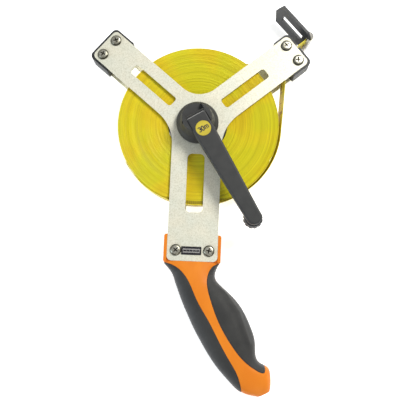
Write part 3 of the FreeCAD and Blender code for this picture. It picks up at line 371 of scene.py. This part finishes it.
def orange_finish():
    """Glossy orange plastic of the handle, with faint flow marks."""
    finish = Finish("orange_plastic")
    flow = finish.noise(0.015, 3.0, finish.stretched((1.0, 0.4, 1.0)))
    finish.colour(finish.ramp(flow, (0.3, (0.80, 0.215, 0.012)), (0.7, (0.88, 0.265, 0.018))))
    finish.roughness(finish.span(finish.noise(0.003), 0.42, 0.54))
    finish.shader.inputs["Specular IOR Level"].default_value = 0.25
    finish.bump(finish.noise(0.0008, 3.0), 0.00004, 0.5)
    return finish.material


def film_finish():
    """Clear, faintly yellowed film."""
    finish = Finish("clear_film", roughness=0.12, coat=0.6)
    finish.colour(finish.ramp(finish.noise(0.006), (0.3, (0.78, 0.74, 0.68)), (0.7, (0.88, 0.86, 0.80))))
    finish.shader.inputs["Alpha"].default_value = 0.62
    finish.roughness(finish.span(finish.noise(0.002), 0.08, 0.2))
    return finish.material


def make_finishes():
    """Every material by the record's slot name, with those of the pieces that only scene.py adds."""
    black = moulded_finish("black_plastic", (0.022, 0.023, 0.024), (0.034, 0.035, 0.036))
    crank = moulded_finish("crank_plastic", (0.024, 0.025, 0.025), (0.035, 0.036, 0.035),
                           rough=(0.50, 0.62))
    return {
        "plate_steel": plate_finish(),
        "black_plastic": black,
        "screw_chrome": screw_finish(),
        "fastener_steel": fastener_finish(),
        "label_black": moulded_finish("label_black", (0.012, 0.011, 0.014), (0.022, 0.020, 0.026),
                                      rough=(0.24, 0.34)),
        "bearing_plastic": moulded_finish("bearing_plastic", (0.62, 0.61, 0.57), (0.74, 0.73, 0.69),
                                          rough=(0.34, 0.44)),
        "drum_plastic": moulded_finish("drum_plastic", (0.030, 0.031, 0.034), (0.048, 0.050, 0.053)),
        "tape_yellow": tape_finish(),
        "coil_edges": coil_finish(),
        "slack_tape": moulded_finish("slack_tape", (0.74, 0.58, 0.030), (0.86, 0.70, 0.040),
                                     rough=(0.6, 0.7)),
        "crank_black": crank,
        "badge_yellow": moulded_finish("badge_yellow", (0.54, 0.43, 0.030), (0.64, 0.52, 0.040),
                                       rough=(0.34, 0.46)),
        "ring_black": moulded_finish("ring_plastic", (0.023, 0.024, 0.026), (0.034, 0.035, 0.038),
                                     rough=(0.36, 0.50)),
        "clear_film": film_finish(),
        "handle_orange": orange_finish(),
        "soft_grip": rubber_finish(),
        "mark_ink": moulded_finish("mark_ink", (0.040, 0.036, 0.028), (0.055, 0.050, 0.040),
                                   rough=(0.5, 0.6)),
        "mark_silver": moulded_finish("mark_silver", (0.50, 0.48, 0.46), (0.66, 0.64, 0.62),
                                      rough=(0.35, 0.5)),
    }


# --- mesh kit --------------------------------------------------------------------------------

def new_piece(name, vertices, faces, finish, smooth=True, uvs=None):
    """Mesh object; uvs, if given, holds one (u, v) for each corner of each face, in order."""
    mesh = bpy.data.meshes.new(name)
    mesh.from_pydata([tuple(v) for v in vertices], [], faces)
    if uvs:
        layer = mesh.uv_layers.new(name="UVMap")
        for corner, uv in zip(layer.data, uvs):
            corner.uv = uv
    mesh.polygons.foreach_set("use_smooth", [smooth] * len(mesh.polygons))
    mesh.materials.append(finish)
    mesh.update()
    piece = bpy.data.objects.new(name, mesh)
    bpy.context.scene.collection.objects.link(piece)
    return piece


def applied(piece):
    """The piece with its modifiers worked into its mesh."""
    bpy.context.view_layer.update()
    shaped = piece.evaluated_get(bpy.context.evaluated_depsgraph_get())
    mesh = bpy.data.meshes.new_from_object(shaped)
    piece.modifiers.clear()
    piece.data = mesh
    return piece


def outward(piece):
    """Faces turned so that their normals point out of the closed mesh."""
    work = bmesh.new()
    work.from_mesh(piece.data)
    bmesh.ops.recalc_face_normals(work, faces=work.faces)
    work.to_mesh(piece.data)
    work.free()
    return piece


def dress_nodes(finishes):
    """Each CAD node takes its slot's material."""
    for entry in frame["record"]["subparts"]:
        mesh = frame["nodes"][entry["node"]].data
        mesh.materials.clear()
        mesh.materials.append(finishes[entry["material_slot"]])


# --- places ----------------------------------------------------------------------------------

def polar(radius, degrees, centre=Vector((0.0, 0.0, 0.0))):
    """Point at a radius and an angle round centre, in centre's plane."""
    turned = math.radians(degrees)
    return centre + Vector((math.cos(turned), math.sin(turned), 0.0)) * radius


def arm_axes():
    """Directions along the right arm and across it, away from the stem."""
    turned = math.radians(ARM_ANGLE)
    along = Vector((math.sin(turned), math.cos(turned), 0.0))
    return along, Vector((-math.cos(turned), math.sin(turned), 0.0))


def arm_point(reach, across):
    """Point in millimetres at a reach along the right arm and across it, level with the tape."""
    along, away = arm_axes()
    return along * reach + away * across + UP * MID_LEVEL


def smooth_step(value):
    """0 below 0, 1 above 1 and a soft slope between."""
    value = min(1.0, max(0.0, value))
    return value * value * (3.0 - 2.0 * value)


# --- wound tape ------------------------------------------------------------------------------

GROOVE_DEPTH = 0.22
EDGE_MARGIN = 0.26
REAR_ROWS = 400


def coil_height(row, column, columns):
    """Height of the wound edge above its mean, in millimetres; even rows are the grooves."""
    turned = 2 * math.pi * column / columns
    turns = row / 2 + column / columns
    place = Vector((math.cos(turned) * 1.3, math.sin(turned) * 1.3, turns * 0.33))
    drift = noise.noise(place) * 0.16
    each = noise.noise(Vector((turns * 1.9, math.cos(turned) * 0.7, math.sin(turned) * 0.7))) * 0.09
    return drift + each - (GROOVE_DEPTH if row % 2 == 0 else 0.0)


def make_coil(finishes):
    """The wound tape as one spiral, turn on turn, with a groove between neighbouring turns."""
    columns = 180
    rows = 2 * COIL_TURNS - 1
    vertices = []
    for side in (1, -1):
        for row in range(rows):
            for column in range(columns):
                radius = COIL_CORE + TAPE_THICK * (row / 2 + column / columns)
                point = polar(radius, COIL_START + 360.0 * column / columns)
                lift = coil_height(row + (0 if side > 0 else REAR_ROWS), column, columns)
                point.z = MID_LEVEL + side * (TAPE_HALF - EDGE_MARGIN + lift)
                vertices.append(point * MM)
    layer = rows * columns

    def corner(row, column, below=0):
        """Vertex number; a full turn leads two rows out, to the next turn of the tape."""
        if column == columns:
            row += 2
            column = 0
        return below * layer + row * columns + column

    faces = []
    uvs = []
    for row in range(rows - 1):
        for column in range(columns):
            if column == columns - 1 and row + 3 > rows - 1:
                continue
            for below in (0, 1):
                face = [corner(row, column, below), corner(row, column + 1, below),
                        corner(row + 1, column + 1, below), corner(row + 1, column, below)]
                faces.append(face if below else face[::-1])
                uvs.extend([(0.0, 0.0)] * 4)
    top_count = len(faces)
    last = rows - 1
    inner = [(0, column) for column in range(columns)] + [(2, 0), (1, 0)]
    outer = [(last, column) for column in range(columns)]
    outer += [(last - 1, columns - 1), (last - 2, columns - 1)]
    for loop, flip in ((inner, False), (outer, True)):
        spent = 0.0
        for first, second in zip(loop, loop[1:] + loop[:1]):
            a, b = corner(*first), corner(*second)
            step = (vertices[a] - vertices[b]).length
            face = [a, b, b + layer, a + layer]
            marks = [(spent, 1.0), (spent + step, 1.0), (spent + step, 0.0), (spent, 0.0)]
            faces.append(face[::-1] if flip else face)
            uvs.extend(marks[::-1] if flip else marks)
            spent += step
    piece = new_piece("wound_coil", vertices, faces, finishes["coil_edges"], uvs=uvs)
    piece.data.materials.append(finishes["tape_yellow"])
    for polygon in piece.data.polygons[top_count:]:
        polygon.material_index = 1
    outward(piece)
    piece.data.set_sharp_from_angle(angle=math.radians(60))
    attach(piece, "reel")
    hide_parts("tape_coil")


def make_ribbon(name, stations, finish, half=TAPE_HALF):
    """Flat band through stations of (centre, face normal, across), with broken edges.

    All in millimetres. Its UV holds metres along the band and 0 to 1 across it."""
    edge = 0.1
    face = TAPE_THICK / 2
    near = face - edge
    profile = [(face, edge - half), (face, half - edge), (near, half), (-near, half),
               (-face, half - edge), (-face, edge - half), (-near, -half), (near, -half)]
    count = len(profile)
    vertices = []
    spent = [0.0]
    for index, (centre, normal, across) in enumerate(stations):
        if index:
            spent.append(spent[-1] + (centre - stations[index - 1][0]).length * MM)
        vertices.extend((centre + normal * out + across * up) * MM for out, up in profile)
    faces = []
    uvs = []
    for index in range(len(stations) - 1):
        for number in range(count):
            following = (number + 1) % count
            faces.append([index * count + number, (index + 1) * count + number,
                          (index + 1) * count + following, index * count + following])
            corners = ((index, number), (index + 1, number), (index + 1, following), (index, following))
            uvs.extend((spent[place], (profile[side][1] + half) / (2 * half)) for place, side in corners)
    for index in (0, len(stations) - 1):
        faces.append([index * count + number for number in range(count)])
        uvs.extend((spent[index], (up + half) / (2 * half)) for _, up in profile)
    piece = outward(new_piece(name, vertices, faces, finish, uvs=uvs))
    piece.data.set_sharp_from_angle(angle=math.radians(35))
    return piece


def make_strip(finishes):
    """Loose outer turn, the straight run to the guide and the bend round its boss."""
    boss = arm_point(SCREW_REACH, -SCREW_HALF)
    spread = math.hypot(boss.x, boss.y)
    lean = math.degrees(math.asin((LOOSE_TURN + GUIDE_BEND) / spread))
    heading = math.degrees(math.atan2(boss.y, boss.x)) + lean
    leave = heading - 90.0
    centre = UP * MID_LEVEL

    def leaning(place, outer, share):
        """Station whose upper edge leans outwards by a share of the full lean."""
        lean = math.radians(STRIP_LEAN) * share
        across = UP * math.cos(lean) + outer * math.sin(lean)
        return place, outer * math.cos(lean) - UP * math.sin(lean), across

    stations = []
    steps = 130
    for step in range(steps + 1):
        angle = LOOSE_START + (leave - LOOSE_START) * step / steps
        room = smooth_step((angle + 110.0) / 90.0)
        radius = COIL_EDGE + LOOSE_GAP + (LOOSE_TURN - COIL_EDGE - LOOSE_GAP) * room
        stations.append(leaning(polar(radius, angle, centre), polar(1.0, angle), 0.8 * room))
    start = polar(LOOSE_TURN, leave, centre)
    finish = polar(GUIDE_BEND, heading + 90.0, boss)
    steps = 24
    for step in range(1, steps):
        share = step / steps
        lean = (0.8 + 0.2 * smooth_step(share * 3.0)) * smooth_step((0.88 - share) * 4.5)
        stations.append(leaning(start.lerp(finish, share), polar(1.0, leave), lean))
    exit_angle = 180.0 - ARM_ANGLE
    steps = 14
    for step in range(steps + 1):
        angle = heading + 90.0 + (exit_angle - heading - 90.0) * step / steps
        stations.append((polar(GUIDE_BEND, angle, boss), -polar(1.0, angle), UP))
    piece = make_ribbon("loose_strip", stations, finishes["tape_yellow"])
    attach(piece, "frame")
    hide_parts("tape_strip")


def make_slack_turn(finishes):
    """Part of a turn close to the coil, inside the loose one."""
    stations = []
    steps = 90
    for step in range(steps + 1):
        angle = SLACK_START + SLACK_SWEEP * step / steps
        place = polar(COIL_EDGE + SLACK_GAP, angle, UP * (MID_LEVEL + SLACK_RAISE))
        stations.append((place, polar(1.0, angle), UP))
    piece = make_ribbon("slack_turn", stations, finishes["slack_tape"], SLACK_HALF)
    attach(piece, "frame")


def ring_axes():
    """Fold line's origin and the axes of the tape's straight end and of the end ring."""
    along, across = arm_axes()
    origin = arm_point(RING_REACH, GUIDE_BEND - SCREW_HALF)
    lead = Matrix((along, across, UP)).transposed()
    yaw = Matrix.Rotation(math.radians(RING_YAW), 3, "Z")
    lean = Matrix.Rotation(math.radians(RING_TILT), 3, "Y")
    return origin, lead, lead @ yaw @ lean


# Places along and across the tape's end, from the guide to the fold, round the bar and back.
END_PATH = [(-15.4, 0.0), (-12.0, 0.0), (-9.0, 0.0), (-6.0, 0.0), (-3.5, 0.0), (-1.6, 0.0), (-0.4, -0.05),
            (0.5, -0.3), (1.2, -0.85), (1.7, -1.6), (2.05, -2.35), (2.6, -2.9), (3.4, -3.0), (4.5, -3.0),
            (5.3, -2.85), (5.75, -2.3), (5.8, -1.2), (5.75, -0.1), (5.4, 0.55), (4.8, 0.78), (3.4, 0.8),
            (2.3, 0.75), (1.4, 0.6), (0.4, 0.5), (-1.0, 0.48), (-3.0, 0.47), (-6.0, 0.47)]


def make_tape_end(finishes):
    """End of the tape: out of the guide, round the ring's bar and back on itself."""
    origin, lead, hook = ring_axes()
    points = []
    widths = []
    for along, across in END_PATH:
        place = Vector((along, across, 0.0))
        share = smooth_step((along + 1.6) / 3.0)
        points.append(origin + (lead @ place).lerp(hook @ place, share))
        widths.append((lead @ UP).lerp(hook @ UP, share).normalized())
    stations = []
    for index, point in enumerate(points):
        before = points[max(0, index - 1)]
        after = points[min(len(points) - 1, index + 1)]
        heading = (after - before).normalized()
        across = (widths[index] - heading * widths[index].dot(heading)).normalized()
        stations.append((point, across.cross(heading).normalized(), across))
    piece = make_ribbon("tape_end_band", stations, finishes["tape_yellow"])
    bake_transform(piece)
    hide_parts("tape_lead", "tape_end_loop")


# --- handle ----------------------------------------------------------------------------------

GRIP_VOXEL = 0.6
GRIP_PASSES = 6

# Line of the soft ridge down the finger side of the grip.
RIDGE = [Vector((24.5, -136.0, 0.0)), Vector((29.0, -145.0, 0.0)), Vector((40.4, -160.2, 0.0)),
         Vector((48.5, -181.1, 0.0)), Vector((51.1, -188.7, 0.0))]


def distance_to_line(point, line):
    """Shortest flat distance to a polyline and the share of the line passed there."""
    best = (1e9, 0.0)
    for index, (first, second) in enumerate(zip(line, line[1:])):
        span = second - first
        share = max(0.0, min(1.0, (point - first).dot(span) / span.length_squared))
        gap = (point - first - span * share).length
        if gap < best[0]:
            best = (gap, (index + share) / (len(line) - 1))
    return best


def make_soft_grip(name):
    """Overmoulded grip with melted edges, made from the design's own solid."""
    source = frame["nodes"][name]
    mesh = source.data.copy()
    work = bmesh.new()
    work.from_mesh(mesh)
    bmesh.ops.remove_doubles(work, verts=work.verts, dist=1e-6)
    work.to_mesh(mesh)
    work.free()
    piece = bpy.data.objects.new(name + "_soft", mesh)
    bpy.context.scene.collection.objects.link(piece)
    remesh = piece.modifiers.new("even", "REMESH")
    remesh.mode = "VOXEL"
    remesh.voxel_size = GRIP_VOXEL * MM
    soften = piece.modifiers.new("soften", "SMOOTH")
    soften.factor = 0.5
    soften.iterations = GRIP_PASSES
    applied(piece)
    piece.data.polygons.foreach_set("use_smooth", [True] * len(piece.data.polygons))
    piece.data.materials.clear()
    piece.data.materials.append(source.data.materials[0])
    return piece


def raise_ridge(piece):
    """Soft raised line down the finger side of the grip, with a hollow beside it."""
    mesh = piece.data
    moves = []
    for vertex in mesh.vertices:
        flat = Vector((vertex.co.x / MM, vertex.co.y / MM, 0.0))
        gap, share = distance_to_line(flat, RIDGE)
        fade = smooth_step(share * 6.0) * smooth_step((1.0 - share) * 6.0)
        facing = smooth_step((abs(vertex.normal.z) - 0.2) * 2.5)
        lift = 0.75 * math.exp(-(gap / 1.9) ** 2) - 0.30 * math.exp(-((gap - 4.2) / 2.2) ** 2)
        moves.append(vertex.co + vertex.normal * lift * fade * facing * MM)
    for vertex, place in zip(mesh.vertices, moves):
        vertex.co = place
    mesh.update()


def make_grips():
    """Palm and finger grips in place of the design's own."""
    for name in ("palm_grip", "finger_grip"):
        piece = make_soft_grip(name)
        if name == "finger_grip":
            raise_ridge(piece)
        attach(piece, "frame")
        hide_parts(name)


# --- raised marks ----------------------------------------------------------------------------

def stroke_mesh(points, wide, low, high, closed=False):
    """Vertices and faces of a raised line along points; its top is a little narrower."""
    vertices = []
    count = len(points)
    for index, point in enumerate(points):
        before = points[index - 1] if index or closed else point
        after = points[(index + 1) % count] if index < count - 1 or closed else point
        heading = (after - before).normalized()
        side = Vector((-heading.y, heading.x, 0.0))
        for share, level in ((-0.5, low), (-0.42, high), (0.42, high), (0.5, low)):
            vertices.append(point + side * wide * share + UP * level)
    faces = []
    for index in range(count if closed else count - 1):
        following = (index + 1) % count
        for corner in range(4):
            other = (corner + 1) % 4
            faces.append([index * 4 + corner, following * 4 + corner,
                          following * 4 + other, index * 4 + other])
    if not closed:
        faces.append([0, 1, 2, 3])
        faces.append([(count - 1) * 4 + corner for corner in range(4)])
    return vertices, faces


def make_marks(name, strokes, finish, body, wide, low, high):
    """One piece from many raised lines; each stroke is (points, closed, width or None)."""
    vertices = []
    faces = []
    for points, closed, own_wide in strokes:
        made, joined = stroke_mesh(points, own_wide or wide, low, high, closed)
        start = len(vertices)
        vertices.extend(point * MM for point in made)
        faces.extend([start + corner for corner in face] for face in joined)
    piece = outward(new_piece(name, vertices, faces, finish, smooth=False))
    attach(piece, body)
    return piece


def arc_points(centre, radii, start, finish, steps):
    """Points along an ellipse's arc, from the start to the finish angle."""
    points = []
    for step in range(steps + 1):
        angle = math.radians(start + (finish - start) * step / steps)
        points.append(centre + Vector((radii[0] * math.cos(angle), radii[1] * math.sin(angle), 0.0)))
    return points


def make_badge_marks(finishes):
    """The tape's length, 30 m, across the badge."""
    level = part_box("length_badge")[1].z / MM
    centre = polar(BADGE_REACH, CRANK_ANGLE)
    turn = Matrix.Rotation(math.radians(CRANK_ANGLE + 90.0), 3, "Z")
    three = arc_points(Vector((-3.45, 0.95, 0.0)), (1.0, 0.95), 150.0, -80.0, 12)
    three += arc_points(Vector((-3.45, -0.95, 0.0)), (1.05, 1.0), 75.0, -150.0, 12)
    nought = arc_points(Vector((-0.55, 0.0, 0.0)), (1.0, 1.9), 0.0, 345.0, 23)
    metre = [[(1.5, -1.9), (1.5, 1.2)], [(1.5, 0.6), (2.05, 1.15), (2.65, 1.1), (2.95, 0.5), (2.95, -1.9)],
             [(2.95, 0.6), (3.5, 1.15), (4.1, 1.1), (4.4, 0.5), (4.4, -1.9)]]
    lines = [(three, False, None), (nought, True, None)]
    lines += [([Vector((x, y, 0.0)) for x, y in stroke], False, 0.8) for stroke in metre]
    placed = [([centre + turn @ point for point in points], closed, wide)
              for points, closed, wide in lines]
    make_marks("badge_marks", placed, finishes["mark_ink"], "crank", 1.0, level - 0.1, level + 0.12)


def make_label_marks(finishes):
    """Two facing rows of silver graduations along the middle of the name plate."""
    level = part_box("name_label")[1].z / MM
    half = 6.9
    row_gap = 1.45
    count = 20
    ticks = []
    for number in range(count + 1):
        x = LABEL_SHIFT + 2 * half * number / count - half
        tall = 1.25 if number % 4 == 0 else 0.8
        for side in (1, -1):
            foot = Vector((x, -LABEL_REACH - row_gap * side, 0.0))
            ticks.append(([foot, foot + Vector((0.0, tall * side, 0.0))], False, None))
    for side in (1, -1):
        y = -LABEL_REACH - row_gap * side
        ends = [Vector((LABEL_SHIFT + end * (half + 0.2), y, 0.0)) for end in (-1, 1)]
        ticks.append((ends, False, 0.35))
    make_marks("label_ticks", ticks, finishes["mark_silver"], "frame", 0.34, level - 0.05, level + 0.08)


make_camera()
finishes = make_finishes()
make_studio()
dress_nodes(finishes)
make_coil(finishes)
make_strip(finishes)
make_slack_turn(finishes)
make_tape_end(finishes)
make_grips()
make_badge_marks(finishes)
make_label_marks(finishes)
